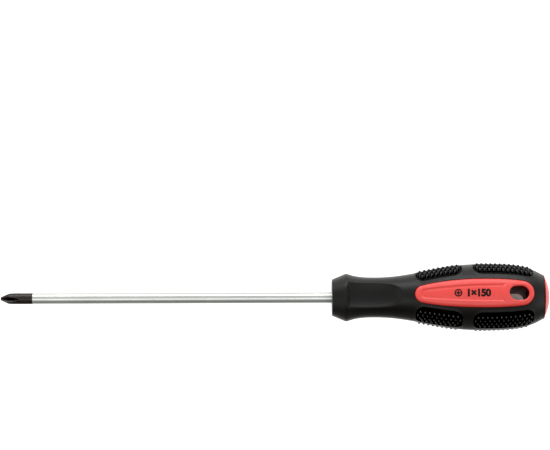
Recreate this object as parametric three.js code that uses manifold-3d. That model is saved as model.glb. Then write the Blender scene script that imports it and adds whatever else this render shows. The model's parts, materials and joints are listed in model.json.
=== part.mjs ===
// Cross-tip screwdriver with a two-colour studded grip. Millimetres, +Z up out of the front panel.
// The origin is the centre of the tip's flat end, and +X runs along the blade into the handle.
import * as THREE from "three";
import { mergeVertices } from "three/addons/utils/BufferGeometryUtils.js";
import Module from "manifold-3d";

// ---- Driving dimensions -------------------------------------------------------------------------
// Lengths along the tool. Places in the handle are measured back from its nose face.
const bladeLength = 150; // from the tip's flat end to the nose face
const handleLength = 98.5;
const capHeight = 2.9; // the domed end cap behind the grip

// Blade: a round bar with a ground cross tip and a flattened tang.
const shankRadius = 2.5;
const tipEndRadius = 0.65;
const tipConeAngle = 26.5; // degrees, half of the cone
const fluteFloor = 0.6; // radius left under the flutes at the tip's end
const fluteRunOut = 8.8; // where the flutes leave the bar
const fluteHalfAngle = 46; // degrees
const fluteTurn = 20; // degrees from the front panel to the first flute
const tangDepth = 68; // how far the bar reaches into the handle
const tangChamfer = 0.8;
const wingReach = 4.6; // half-width of the pinched wings that stop the bar turning
const wingThickness = 1.3;
const wingLength = 10;
const wingFromTangEnd = 2;

// Outer shape of the grip, all radii.
const noseRadius = 8.2;
const shoulderPlace = 6.5;
const shoulderRadius = 10.95;
const waistPlace = 19.5;
const waistRadius = 9.07;
const bellyPlace = 66;
const bellyRadius = 14.95;
const buttRadius = 9.95;
const shoulderPull = 4; // how far the curve behind the shoulder keeps its first slope
const shoulderPullDrop = 0.8; // share of the drop to the waist at that pull
const waistPull = 6; // how far the curve runs straight before the waist
const swellPulls = [0.38, 0.36]; // shares of the swell's length, at the waist and at the belly
const tailPulls = [0.6, 0.216]; // shares of the tail's length, at the belly and at the butt
const tailPullHeight = 0.78; // share of the tail's fall still left at the butt's pull

// Walls and clearances.
const fitGap = 0.3; // between two pieces that touch on the real tool
const gripWall = 2.6; // soft grip over the hard core
const sleeveWall = 2.1; // inner core over the bar
const scoopWall = 1.1; // soft grip left under the thumb scoops

// Inner core: moulded round the tang first.
const sleeveNoseCover = 1.2; // soft grip in front of it
const anchorRadius = 7.2; // its thick rear part, round the wings
const anchorRampLength = 4;
const anchorLead = 2; // thick part ahead of the wings
const anchorTail = 5; // solid end behind the bar
const anchorBevel = 1;
const keyCount = 4;
const keyHeight = 1;
const keyWidth = 2;

// Handle core.
const coreFront = 30;

// Thumb scoops, one under each panel's line.
const scoopStart = 6.2;
const scoopLowest = 17;
const scoopEnd = 31.5;
const scoopAcrossRadius = 17;
const scoopStartSlope = 35; // degrees off square at the front wall

// Panels, one on each side, with the hang hole through both.
const panelFront = 37.1;
const panelFrontRadius = 4;
const panelMiddleBulge = 1.55; // how far the sides' curve pulls out
const panelFrontLean = 13; // degrees, the sides' slope where they leave the front arc
const panelRearLean = 5; // degrees, the same at the rear arc
const panelFrontPull = 0.3; // shares of the length at which the sides' curve is pulled out
const panelRearPull = 0.2;
const panelRearTuck = 0.2; // the rear pull stands this much closer in
const panelRaise = 0.4; // above the grip
const holeFromEnd = 14.8; // the hole's centre, from the back of the cap
const holeHalfLength = 4.55;
const holeHalfWidth = 3.3;
const holeRim = 2.35; // panel round the hole's rear half
const recessDepth = 0.5;
const recessFront = 41;
const recessFrontHalfWidth = 2;
const recessRearHalfWidth = 3.8;
const recessToHole = 7.6; // from the hole's centre to the label recess
const pegRadius = 1.5;
const pegLength = 2.6;
const pegClearance = 1; // core left between a front peg and the inner core's thick part

// Studded pads: four columns, each with a short front pad and a long rear pad.
const padStrip = 2.7; // grip left between a panel and the pads beside it, at the belly
const padSideGap = 6.9; // grip left between two columns at the side of the handle
const padPocket = 1.2;
const padRaise = 0.1; // the smooth base above the grip
const padCorner = 4;
const studHeight = 0.9; // the studs' tips above the grip
const studRadius = 0.85;
const studPitch = 2.08; // along the handle
const studSink = 0.2; // how far a stud is let into the pad's base
const studRows = 6;
const frontPadStart = 37.8;
const frontPadEnd = 58.5;
const rearPadStart = 63.5;
const rearPadFromGripEnd = 5.1;

// End cap.
const spigotRadius = 4.5;
const spigotLength = 5;
const spigotChamfer = 0.5;
const capEdge = 0.3;
const capInset = 0.05; // the cap's rim stands this much inside the grip's edge

// How far a shape that cuts another runs past the surface it opens.
const overrun = 1;

// Points of the handle's line closer than this to a cut place are left out.
const leastStep = 0.5;

// Fineness of the round surfaces.
const roundSides = 36;
const barSides = 24;
const wheelSides = 120; // the grinding wheel that cuts a flute
const scoopSides = 96;
const scoopSteps = 12; // across a scoop
const pegSides = 16;
const studSides = 4;
const curveSteps = 5;
const outlineSteps = 6; // along each arc or curve of a flat outline
const cornerSteps = 3; // round each corner of a pad

// ---- Values worked out from them ----------------------------------------------------------------
const gripEnd = handleLength - capHeight;
const holePlace = handleLength - holeFromEnd;
const panelRearRadius = holeHalfWidth + holeRim;
const panelRearCentre = holePlace + holeHalfLength + holeRim - panelRearRadius;
const rearPadEnd = gripEnd - rearPadFromGripEnd;
const sleeveRadius = shankRadius + fitGap + sleeveWall;
const scoopFloor = sleeveRadius + fitGap + scoopWall;
const wingEnd = tangDepth - wingFromTangEnd;
const wingStart = wingEnd - wingLength;
const anchorStart = wingStart - anchorLead;
const sleeveEnd = tangDepth + anchorTail;
const pegPlaces = [
  anchorStart - anchorRampLength - pegRadius - pegClearance,
  (sleeveEnd + holePlace - holeHalfLength) / 2, // between the inner core and the hole
];
const rowSpacing = studPitch * Math.sin(Math.PI / 3); // studs stand on a triangular grid
const outerReach = 2 * (bellyRadius + studHeight); // longer than any radius here

const radians = THREE.MathUtils.degToRad;
const degrees = THREE.MathUtils.radToDeg;

// The pads share what the panels and the strips of grip leave of the belly's round. Their columns
// are turned in degrees from the front panel.
const panelHalfWidth = Math.max(...panelShape().getPoints(outlineSteps).map((point) => point.y));
const panelHalfTurn = Math.asin(panelHalfWidth / bellyRadius);
const padQuarter = bellyRadius * (Math.PI / 2 - panelHalfTurn);
const padHalfWidth = (padQuarter - padStrip - padSideGap / 2) / 2;
const padTurn = degrees(panelHalfTurn + (padStrip + padHalfWidth) / bellyRadius);
const padColumns = {
  front_left: padTurn,
  back_left: 180 - padTurn,
  back_right: 180 + padTurn,
  front_right: -padTurn,
};

// ---- Shape helpers ------------------------------------------------------------------------------
const wasm = await Module();
wasm.setup();

// A closed three.js geometry as a solid that can be joined and cut.
function solid(geometry) {
  const loose = geometry.index ? geometry.toNonIndexed() : geometry;
  loose.deleteAttribute("normal");
  loose.deleteAttribute("uv");
  const merged = mergeVertices(loose, 1e-4);
  const corners = merged.index.array;
  const triVerts = [];
  for (let i = 0; i < corners.length; i += 3) {
    const [a, b, c] = corners.slice(i, i + 3);
    // the turned shapes have flat triangles at their axis, which hold no area
    if (a !== b && b !== c && c !== a) triVerts.push(a, b, c);
  }
  const mesh = new wasm.Mesh({
    numProp: 3,
    vertProperties: merged.attributes.position.array,
    triVerts: new Uint32Array(triVerts),
  });
  return new wasm.Manifold(mesh);
}

// A solid turned about the tool's axis. The outline runs from front to back as [place, radius],
// with places measured from the nose face, and closes itself on the axis.
function turned(outline, sides = roundSides) {
  const points = [[outline[0][0], 0], ...outline, [outline.at(-1)[0], 0]];
  const profile = points.map(([place, radius]) => new THREE.Vector2(Math.max(radius, 0), place));
  const geometry = new THREE.LatheGeometry(profile, sides, Math.PI / sides);
  geometry.rotateZ(-Math.PI / 2);
  geometry.translate(bladeLength, 0, 0);
  return solid(geometry);
}

// A flat outline, drawn as [place, across], pulled out from the tool's axis at a turn about it.
function radialPrism(shape, turnDegrees = 0, from = 0, to = outerReach) {
  const geometry = new THREE.ExtrudeGeometry(shape, {
    depth: to - from,
    bevelEnabled: false,
    curveSegments: outlineSteps,
  });
  geometry.translate(bladeLength, 0, from);
  geometry.rotateX(-radians(turnDegrees));
  return solid(geometry);
}

function finished(name, body, material) {
  const { vertProperties, triVerts } = body.getMesh();
  const geometry = new THREE.BufferGeometry();
  geometry.setAttribute("position", new THREE.BufferAttribute(vertProperties, 3));
  geometry.setIndex(new THREE.BufferAttribute(triVerts, 1));
  geometry.computeVertexNormals();
  const mesh = new THREE.Mesh(geometry, material);
  mesh.name = name;
  return mesh;
}

// ---- The handle's outer line --------------------------------------------------------------------
// A straight nose cone, a hollow curve down to the waist, a swell to the belly and a round tail.
function handleLine() {
  const line = new THREE.Path();
  line.moveTo(0, noseRadius);
  line.lineTo(shoulderPlace, shoulderRadius);
  line.bezierCurveTo(
    shoulderPlace + shoulderPull, shoulderRadius - shoulderPullDrop * (shoulderRadius - waistRadius),
    waistPlace - waistPull, waistRadius,
    waistPlace, waistRadius,
  );
  const swell = bellyPlace - waistPlace;
  line.bezierCurveTo(
    waistPlace + swellPulls[0] * swell, waistRadius,
    bellyPlace - swellPulls[1] * swell, bellyRadius,
    bellyPlace, bellyRadius,
  );
  const tail = gripEnd - bellyPlace;
  line.bezierCurveTo(
    bellyPlace + tailPulls[0] * tail, bellyRadius,
    gripEnd - tailPulls[1] * tail, buttRadius + tailPullHeight * (bellyRadius - buttRadius),
    gripEnd, buttRadius,
  );
  return line.getPoints(curveSteps).map((point) => [point.x, point.y]);
}

const gripOutline = handleLine();

function gripRadius(place) {
  const next = gripOutline.findIndex(([at]) => at >= place);
  if (next <= 0) return gripOutline[next < 0 ? gripOutline.length - 1 : 0][1];
  const [at0, radius0] = gripOutline[next - 1];
  const [at1, radius1] = gripOutline[next];
  return radius0 + ((radius1 - radius0) * (place - at0)) / (at1 - at0);
}

// The grip's line moved outwards by an amount, between two places.
function offsetLine(amount, start = 0, end = gripEnd) {
  const between = gripOutline.filter(([place]) => place > start + leastStep && place < end - leastStep);
  const whole = [[start, gripRadius(start)], ...between, [end, gripRadius(end)]];
  return whole.map(([place, radius]) => [place, radius + amount]);
}

// ---- Blade --------------------------------------------------------------------------------------
// The tang and its wings, grown by a clearance when they shape the pocket that holds them.
function tang(grow) {
  const radius = shankRadius + grow;
  const start = grow > 0 ? -overrun : -bladeLength / 2;
  const bar = turned(
    [
      [start, radius],
      [tangDepth + grow - tangChamfer, radius],
      [tangDepth + grow, radius - tangChamfer],
    ],
    barSides,
  );
  const wings = new THREE.BoxGeometry(
    wingLength + 2 * grow,
    2 * (wingReach + grow),
    wingThickness + 2 * grow,
  );
  wings.translate(bladeLength + (wingStart + wingEnd) / 2, 0, 0);
  return bar.add(solid(wings));
}

// Each flute is cut by a wheel with a vee rim, whose lowest point stands at the tip's end.
function fluteCutter(turnDegrees) {
  const rise = shankRadius - fluteFloor;
  const wheelRadius = (fluteRunOut ** 2 + rise ** 2) / (2 * rise);
  const rimDepth = 2 * shankRadius;
  const flank = rimDepth * Math.tan(radians(fluteHalfAngle));
  const wheel = new THREE.LatheGeometry(
    [
      new THREE.Vector2(0, -flank),
      new THREE.Vector2(wheelRadius - rimDepth, -flank),
      new THREE.Vector2(wheelRadius, 0),
      new THREE.Vector2(wheelRadius - rimDepth, flank),
      new THREE.Vector2(0, flank),
    ],
    wheelSides,
  );
  wheel.translate(0, 0, fluteFloor + wheelRadius);
  wheel.rotateX(radians(turnDegrees));
  return solid(wheel);
}

function blade() {
  const coneLength = (shankRadius - tipEndRadius) / Math.tan(radians(tipConeAngle));
  const bar = turned(
    [
      [-bladeLength, tipEndRadius],
      [coneLength - bladeLength, shankRadius],
      [-bladeLength / 2, shankRadius],
    ],
    barSides,
  );
  const cutters = [0, 90, 180, 270].map((quarter) => fluteCutter(fluteTurn + quarter));
  return cutters.reduce((left, cutter) => left.subtract(cutter), bar.add(tang(0)));
}

// ---- Inner core ---------------------------------------------------------------------------------
function innerCoreOutside(grow) {
  const ramp = anchorStart - anchorRampLength;
  let outside = turned([
    [sleeveNoseCover - grow, sleeveRadius + grow],
    [ramp, sleeveRadius + grow],
    [anchorStart, anchorRadius + grow],
    [sleeveEnd + grow - anchorBevel, anchorRadius + grow],
    [sleeveEnd + grow, anchorRadius + grow - anchorBevel],
  ]);
  for (let i = 0; i < keyCount; i += 1) {
    const key = new THREE.BoxGeometry(
      wingLength + 2 * grow,
      keyWidth + 2 * grow,
      anchorRadius + keyHeight + grow,
    );
    key.translate(bladeLength + (wingStart + wingEnd) / 2, 0, (anchorRadius + keyHeight + grow) / 2);
    key.rotateX((i + 0.5) * ((2 * Math.PI) / keyCount));
    outside = outside.add(solid(key));
  }
  return outside;
}

function innerCore() {
  return innerCoreOutside(0).subtract(tang(fitGap));
}

// ---- Hang hole and panels -----------------------------------------------------------------------
function holeShape(grow = 0) {
  const radius = holeHalfWidth + grow;
  const reach = holeHalfLength - holeHalfWidth;
  const shape = new THREE.Shape();
  shape.absarc(holePlace + reach, 0, radius, -Math.PI / 2, Math.PI / 2, false);
  shape.absarc(holePlace - reach, 0, radius, Math.PI / 2, (3 * Math.PI) / 2, false);
  return shape;
}

function holeCutter() {
  return radialPrism(holeShape(), 0, -outerReach, outerReach);
}

// The panel's outline: a small round nose, sides that swell, and a big round end behind the hole.
function panelShape(grow = 0) {
  const front = panelFrontRadius + grow;
  const rear = panelRearRadius + grow;
  const frontCentre = panelFront + panelFrontRadius;
  const frontLean = radians(panelFrontLean);
  const rearLean = radians(panelRearLean);
  const span = panelRearCentre - frontCentre;
  const swell = Math.max(front, rear) + panelMiddleBulge;
  const side = (sign) => [
    [panelRearCentre + rear * Math.sin(rearLean), sign * rear * Math.cos(rearLean)],
    [panelRearCentre - panelRearPull * span, sign * (swell - panelRearTuck)],
    [frontCentre + panelFrontPull * span, sign * swell],
    [frontCentre - front * Math.sin(frontLean), sign * front * Math.cos(frontLean)],
  ];
  const [rearTop, pullRear, pullFront, frontTop] = side(1);
  const [rearLow, pullRearLow, pullFrontLow] = side(-1);
  const shape = new THREE.Shape();
  shape.moveTo(...rearTop);
  shape.bezierCurveTo(...pullRear, ...pullFront, ...frontTop);
  shape.absarc(frontCentre, 0, front, Math.PI / 2 + frontLean, 1.5 * Math.PI - frontLean, false);
  shape.bezierCurveTo(...pullFrontLow, ...pullRearLow, ...rearLow);
  shape.absarc(panelRearCentre, 0, rear, rearLean - Math.PI / 2, Math.PI / 2 - rearLean, false);
  return shape;
}

// The sunk label field, which ends in a hollow arc about the hole's centre.
function recessShape() {
  const half = Math.asin(recessRearHalfWidth / recessToHole);
  const rearEdge = holePlace - recessToHole * Math.cos(half);
  const shape = new THREE.Shape();
  shape.absarc(
    recessFront + recessFrontHalfWidth, 0, recessFrontHalfWidth,
    Math.PI / 2, (3 * Math.PI) / 2, false,
  );
  shape.quadraticCurveTo(
    (recessFront + rearEdge) / 2, -recessRearHalfWidth,
    rearEdge, -recessRearHalfWidth,
  );
  shape.absarc(holePlace, 0, recessToHole, Math.PI + half, Math.PI - half, true);
  shape.quadraticCurveTo(
    (recessFront + rearEdge) / 2, recessRearHalfWidth,
    recessFront + recessFrontHalfWidth, recessFrontHalfWidth,
  );
  return shape;
}

// The pegs that place a panel on the core, grown when they shape the core's sockets.
function pegs(turnDegrees, grow) {
  const made = pegPlaces.map((place) => {
    const top = gripRadius(place) - gripWall + overrun;
    const bottom = gripRadius(place) - gripWall - pegLength - grow;
    const peg = new THREE.CylinderGeometry(pegRadius + grow, pegRadius + grow, top - bottom, pegSides);
    peg.rotateX(Math.PI / 2);
    peg.translate(bladeLength + place, 0, (top + bottom) / 2);
    peg.rotateX(-radians(turnDegrees));
    return solid(peg);
  });
  return made.reduce((all, peg) => all.add(peg));
}

function panel(turnDegrees) {
  const front = panelFront - overrun;
  const skin = turned(offsetLine(panelRaise, front, gripEnd));
  const under = turned(offsetLine(-gripWall, front - overrun, gripEnd + overrun));
  const recessFloor = turned(offsetLine(panelRaise - recessDepth, front - overrun, gripEnd + overrun));
  const recess = radialPrism(recessShape(), turnDegrees).subtract(recessFloor);
  return radialPrism(panelShape(), turnDegrees)
    .intersect(skin)
    .subtract(under)
    .subtract(recess)
    .add(pegs(turnDegrees, 0))
    .subtract(holeCutter());
}

// ---- Handle core --------------------------------------------------------------------------------
function coreOutside(grow) {
  return turned([
    ...offsetLine(grow - gripWall - fitGap, coreFront - grow, gripEnd),
    ...(grow > 0 ? [[gripEnd + overrun, buttRadius - gripWall - fitGap + grow]] : []),
  ]);
}

function spigot(grow) {
  return turned(
    [
      [gripEnd - spigotLength - grow, spigotRadius + grow - spigotChamfer],
      [gripEnd - spigotLength - grow + spigotChamfer, spigotRadius + grow],
      [gripEnd + overrun, spigotRadius + grow],
    ],
    barSides,
  );
}

function handleCore() {
  return coreOutside(0)
    .subtract(innerCoreOutside(fitGap))
    .subtract(pegs(0, fitGap))
    .subtract(pegs(180, fitGap))
    .subtract(spigot(fitGap))
    .subtract(holeCutter());
}

// ---- End cap ------------------------------------------------------------------------------------
function endCap() {
  const rimRadius = buttRadius - capInset;
  const seat = gripEnd + fitGap;
  const height = capHeight - fitGap;
  const domeRadius = (rimRadius ** 2 + height ** 2) / (2 * height);
  const dome = [];
  for (let i = 0; i <= curveSteps; i += 1) {
    const radius = rimRadius * (1 - i / curveSteps);
    const drop = domeRadius - Math.sqrt(domeRadius ** 2 - radius ** 2);
    dome.push([handleLength - drop, radius]);
  }
  const cap = turned([[seat, rimRadius - capEdge], [seat + capEdge, rimRadius], ...dome.slice(1)]);
  return cap.add(spigot(0));
}

// ---- Studded pads -------------------------------------------------------------------------------
const padSpans = { front: [frontPadStart, frontPadEnd], rear: [rearPadStart, rearPadEnd] };

// Half the pad's width at a place, with round corners, measured round the grip.
function padHalf(place, start, end, grow) {
  const corner = Math.min(padCorner, padHalfWidth) + grow;
  const toEnd = Math.min(place - start + grow, end + grow - place, corner);
  return padHalfWidth + grow - corner + Math.sqrt(corner ** 2 - (corner - toEnd) ** 2);
}

// The pad's outline as it is seen straight on, so a width round the grip turns into a chord.
function padShape(start, end, grow = 0) {
  const corner = Math.min(padCorner, padHalfWidth) + grow;
  const from = start - grow;
  const to = end + grow;
  const turns = Array.from({ length: cornerSteps + 1 }, (_, i) => (i / cornerSteps) * (Math.PI / 2));
  const middle = [0.25, 0.5, 0.75].map((share) => from + corner + share * (to - from - 2 * corner));
  const places = [
    ...turns.map((turn) => from + corner * (1 - Math.cos(turn))),
    ...middle,
    ...turns.reverse().map((turn) => to - corner * (1 - Math.cos(turn))),
  ];
  const edge = places.map((place) => {
    const radius = gripRadius(place);
    return [place, radius * Math.sin(padHalf(place, start, end, grow) / radius)];
  });
  const shape = new THREE.Shape();
  shape.moveTo(...edge[0]);
  edge.slice(1).forEach(([place, half]) => shape.lineTo(place, half));
  edge.reverse().forEach(([place, half]) => shape.lineTo(place, -half));
  shape.closePath();
  return shape;
}

// One stud is a four-sided point.
function stud(place, across, turnDegrees) {
  const height = studHeight - padRaise + studSink;
  const point = new THREE.ConeGeometry(studRadius, height, studSides);
  point.rotateX(Math.PI / 2);
  point.translate(0, 0, gripRadius(place) + studHeight - height / 2);
  point.rotateX(-radians(turnDegrees) - across / gripRadius(place));
  point.translate(bladeLength + place, 0, 0);
  return solid(point);
}

function studField(start, end, turnDegrees) {
  const studs = [];
  for (let row = 0; row < studRows; row += 1) {
    const across = (row - (studRows - 1) / 2) * rowSpacing;
    const shift = row % 2 ? studPitch / 2 : 0;
    for (let place = start + studRadius + shift; place < end - studRadius; place += studPitch) {
      const room = padHalf(place, start, end, -studRadius);
      if (Math.abs(across) <= room) studs.push(stud(place, across, turnDegrees));
    }
  }
  return studs;
}

function pad(end, turnDegrees) {
  const span = padSpans[end];
  const outside = turned(offsetLine(padRaise, coreFront, gripEnd));
  const inside = turned(offsetLine(fitGap - padPocket, coreFront - overrun, gripEnd + overrun));
  const base = radialPrism(padShape(...span), turnDegrees).intersect(outside).subtract(inside);
  return wasm.Manifold.union([base, ...studField(...span, turnDegrees)]);
}

function padPockets() {
  const floor = turned(offsetLine(-padPocket, coreFront - overrun, gripEnd + overrun));
  const cutters = [];
  for (const turnDegrees of Object.values(padColumns)) {
    for (const span of Object.values(padSpans)) {
      cutters.push(radialPrism(padShape(...span, fitGap), turnDegrees).subtract(floor));
    }
  }
  return wasm.Manifold.union(cutters);
}

// ---- Soft grip ----------------------------------------------------------------------------------
// The scoop is turned about a line across the tool, so it is hollow both ways, and its front wall
// is cut off square just behind the shoulder.
function scoop(turnDegrees) {
  const rise = gripRadius(scoopEnd) - scoopFloor;
  const reach = scoopEnd - scoopLowest;
  const lengthRadius = (reach ** 2 + rise ** 2) / (2 * rise);
  const halfWidth = waistRadius;
  const rim = [];
  for (let i = 0; i <= scoopSteps; i += 1) {
    const across = halfWidth * ((2 * i) / scoopSteps - 1);
    const sag = scoopAcrossRadius - Math.sqrt(scoopAcrossRadius ** 2 - across ** 2);
    rim.push(new THREE.Vector2(lengthRadius - sag, across));
  }
  const bowl = new THREE.LatheGeometry(
    [new THREE.Vector2(0, -halfWidth), ...rim, new THREE.Vector2(0, halfWidth)],
    scoopSides,
  );
  bowl.translate(bladeLength + scoopLowest, 0, scoopFloor + lengthRadius);
  const behind = new THREE.BoxGeometry(outerReach * 2, outerReach * 2, outerReach * 4);
  behind.translate(outerReach, 0, 0);
  behind.rotateY(-radians(scoopStartSlope));
  behind.translate(bladeLength + scoopStart, 0, shoulderRadius);
  bowl.rotateX(-radians(turnDegrees));
  behind.rotateX(-radians(turnDegrees));
  return solid(bowl).intersect(solid(behind));
}

function gripSleeve() {
  const throat = turned(
    [
      [-overrun, shankRadius + fitGap],
      [sleeveNoseCover + overrun, shankRadius + fitGap],
    ],
    barSides,
  );
  return turned(gripOutline)
    .subtract(throat)
    .subtract(innerCoreOutside(fitGap))
    .subtract(coreOutside(fitGap))
    .subtract(radialPrism(panelShape(fitGap), 0))
    .subtract(radialPrism(panelShape(fitGap), 180))
    .subtract(padPockets())
    .subtract(scoop(0))
    .subtract(scoop(180));
}

// ---- Assembly -----------------------------------------------------------------------------------
function plastic(colour, roughness) {
  return new THREE.MeshStandardMaterial({ color: colour, roughness, metalness: 0 });
}

const screwdriver = new THREE.Group();
screwdriver.name = "screwdriver";

screwdriver.add(
  finished(
    "blade",
    blade(),
    new THREE.MeshStandardMaterial({ color: 0xb9bab6, roughness: 0.28, metalness: 1 }),
  ),
  finished("inner_core", innerCore(), plastic(0xcfcac0, 0.6)),
  finished("handle_core", handleCore(), plastic(0xa81f22, 0.45)),
  finished("front_panel", panel(0), plastic(0xd8312f, 0.38)),
  finished("back_panel", panel(180), plastic(0xd8312f, 0.38)),
  finished("end_cap", endCap(), plastic(0xd8312f, 0.38)),
  finished("grip_sleeve", gripSleeve(), plastic(0x1c1b1a, 0.7)),
);

for (const [column, turnDegrees] of Object.entries(padColumns)) {
  for (const end of Object.keys(padSpans)) {
    const name = `stud_pad_${end}_${column}`;
    screwdriver.add(finished(name, pad(end, turnDegrees), plastic(0x0d0d0d, 0.5)));
  }
}

export default screwdriver;
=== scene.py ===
# Cross-tip screwdriver with a studded soft grip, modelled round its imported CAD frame.
import json
import math

import bmesh
import bpy
import numpy as np
from mathutils import Matrix, Vector
from mathutils.geometry import interpolate_bezier

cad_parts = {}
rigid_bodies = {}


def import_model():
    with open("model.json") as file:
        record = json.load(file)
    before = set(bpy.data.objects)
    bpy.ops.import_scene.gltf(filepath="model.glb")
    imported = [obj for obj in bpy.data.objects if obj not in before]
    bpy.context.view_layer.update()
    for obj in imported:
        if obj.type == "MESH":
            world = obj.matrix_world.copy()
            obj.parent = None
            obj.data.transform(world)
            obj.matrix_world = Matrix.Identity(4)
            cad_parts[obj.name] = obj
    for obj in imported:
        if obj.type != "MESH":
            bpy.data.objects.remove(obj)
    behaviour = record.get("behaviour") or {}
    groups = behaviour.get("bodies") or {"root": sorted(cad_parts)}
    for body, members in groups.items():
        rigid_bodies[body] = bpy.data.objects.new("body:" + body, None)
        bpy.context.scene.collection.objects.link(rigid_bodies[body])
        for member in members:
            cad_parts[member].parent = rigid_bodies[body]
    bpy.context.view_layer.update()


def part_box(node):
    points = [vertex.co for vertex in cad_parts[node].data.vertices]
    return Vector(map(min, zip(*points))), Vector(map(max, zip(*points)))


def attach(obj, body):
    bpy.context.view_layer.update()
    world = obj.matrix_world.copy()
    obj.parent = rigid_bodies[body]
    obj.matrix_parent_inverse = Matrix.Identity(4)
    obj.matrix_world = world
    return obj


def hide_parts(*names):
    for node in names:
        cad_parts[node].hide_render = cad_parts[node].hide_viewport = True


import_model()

mm = 0.001  # everything is worked out in millimetres and scaled once, when a piece is finished
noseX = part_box("grip_sleeve")[0].x / mm
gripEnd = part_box("grip_sleeve")[1].x / mm - noseX
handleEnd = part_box("end_cap")[1].x / mm - noseX

# Places in the handle are counted back from its nose face, angles round from the front panel.
handle = {
    "noseRadius": 8.2,
    "shoulderPlace": 6.5,
    "shoulderRadius": 10.95,
    "waistPlace": 19.5,
    "waistRadius": 9.07,
    "bellyPlace": 66.0,
    "bellyRadius": 14.95,
    "buttRadius": 9.95,
    "shoulderPull": (4, 0.8),  # mm along, and share of the drop to the waist
    "waistPull": 6,
    "swellPulls": (0.38, 0.36),  # shares of the way from waist to belly, one for each end
    "tailPulls": (0.6, 0.216),  # and of the way from belly to butt
    "buttLift": 0.78,  # how full the tail stays before it falls to the butt
    "curveSteps": 60,
    "gripWall": 2.6,
    "coreGap": 0.1,  # hard core under the soft grip
}
weld = 1e-4  # corners closer than this, in mm, become one
outside = 30  # mm from the axis, past the skin all round


def handleLine():
    h = handle
    swell = h["bellyPlace"] - h["waistPlace"]
    tail = gripEnd - h["bellyPlace"]
    shoulder = (h["shoulderPlace"], h["shoulderRadius"])
    waist = (h["waistPlace"], h["waistRadius"])
    belly = (h["bellyPlace"], h["bellyRadius"])
    butt = (gripEnd, h["buttRadius"])
    along, drop = h["shoulderPull"]
    pastShoulder = (shoulder[0] + along, shoulder[1] - drop * (shoulder[1] - waist[1]))
    beforeWaist = (waist[0] - h["waistPull"], waist[1])
    pastWaist = (waist[0] + h["swellPulls"][0] * swell, waist[1])
    beforeBelly = (belly[0] - h["swellPulls"][1] * swell, belly[1])
    pastBelly = (belly[0] + h["tailPulls"][0] * tail, belly[1])
    beforeButt = (gripEnd - h["tailPulls"][1] * tail, butt[1] + h["buttLift"] * (belly[1] - butt[1]))
    curves = [
        (shoulder, pastShoulder, beforeWaist, waist),
        (waist, pastWaist, beforeBelly, belly),
        (belly, pastBelly, beforeButt, butt),
    ]
    points = [Vector((0, h["noseRadius"]))]
    for knot1, pull1, pull2, knot2 in curves:
        points += interpolate_bezier(knot1, pull1, pull2, knot2, h["curveSteps"])
    keep = [p for i, p in enumerate(points) if i == 0 or p.x > points[i - 1].x + 1e-6]
    return np.array([[p.x, p.y] for p in keep])


gripLine = handleLine()


def gripRadius(place):
    return np.interp(place, gripLine[:, 0], gripLine[:, 1])


def softRadius(place, blend=0.7, samples=9):
    # the same line with its shoulder rounded, by averaging over a short stretch
    steps = np.linspace(-blend, blend, samples)
    return np.mean([gripRadius(np.clip(place + s, 0, gripEnd)) for s in steps], axis=0)


def arcPoints(x, y, radius, start, end, steps):
    turns = np.linspace(math.radians(start), math.radians(end), steps)
    return [(x + radius * math.cos(t), y + radius * math.sin(t)) for t in turns]


def distanceInside(outline, x, y):
    # signed distance to a closed outline, positive inside
    tiny = 1e-12
    points = np.array(outline)
    nearest = np.full(np.shape(x), np.inf)
    inside = np.zeros(np.shape(x), bool)
    for (x0, y0), (x1, y1) in zip(points, np.roll(points, -1, axis=0)):
        dx, dy = x1 - x0, y1 - y0
        length = dx * dx + dy * dy
        if length < tiny:
            continue
        t = np.clip(((x - x0) * dx + (y - y0) * dy) / length, 0, 1)
        nearest = np.minimum(nearest, np.hypot(x - x0 - t * dx, y - y0 - t * dy))
        if abs(dy) > tiny:
            crosses = (y0 > y) != (y1 > y)
            inside ^= crosses & (x < x0 + (y - y0) * dx / dy)
    return np.where(inside, nearest, -nearest)


def smoothStep(value, low, high):
    t = np.clip((value - low) / (high - low), 0, 1)
    return t * t * (3 - 2 * t)


def softMin(a, b, blend):
    h = np.clip(0.5 + 0.5 * (b - a) / blend, 0, 1)
    return b * (1 - h) + a * h - blend * h * (1 - h)


def moveVerts(bm, rule):
    # rule takes x, y, z arrays in mm and gives the new ones
    co = np.array([v.co for v in bm.verts])
    new = np.column_stack(rule(co[:, 0], co[:, 1], co[:, 2]))
    for v, place in zip(bm.verts, new):
        v.co = place


def spinProfile(points, steps, closed=False, bevels=()):
    # a profile of (x, radius) spun round the tool's axis; bevels are (index, offset, segments)
    bm = bmesh.new()
    verts = [bm.verts.new((x, 0, radius)) for x, radius in points]
    edges = [bm.edges.new(pair) for pair in zip(verts, verts[1:])]
    if closed:
        edges.append(bm.edges.new((verts[-1], verts[0])))
    for index, offset, segments in bevels:
        bmesh.ops.bevel(bm, geom=[verts[index]], offset=offset, segments=segments, profile=0.5,
                        affect="VERTICES", material=-1)
    bmesh.ops.spin(bm, geom=bm.verts[:] + bm.edges[:], cent=(0, 0, 0), axis=(1, 0, 0),
                   angle=2 * math.pi, steps=steps, use_merge=True)
    bmesh.ops.remove_doubles(bm, verts=bm.verts[:], dist=weld)
    bmesh.ops.recalc_face_normals(bm, faces=bm.faces[:])
    return bm


def onlyVerts(geom):
    return [item for item in geom if isinstance(item, bmesh.types.BMVert)]


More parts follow.
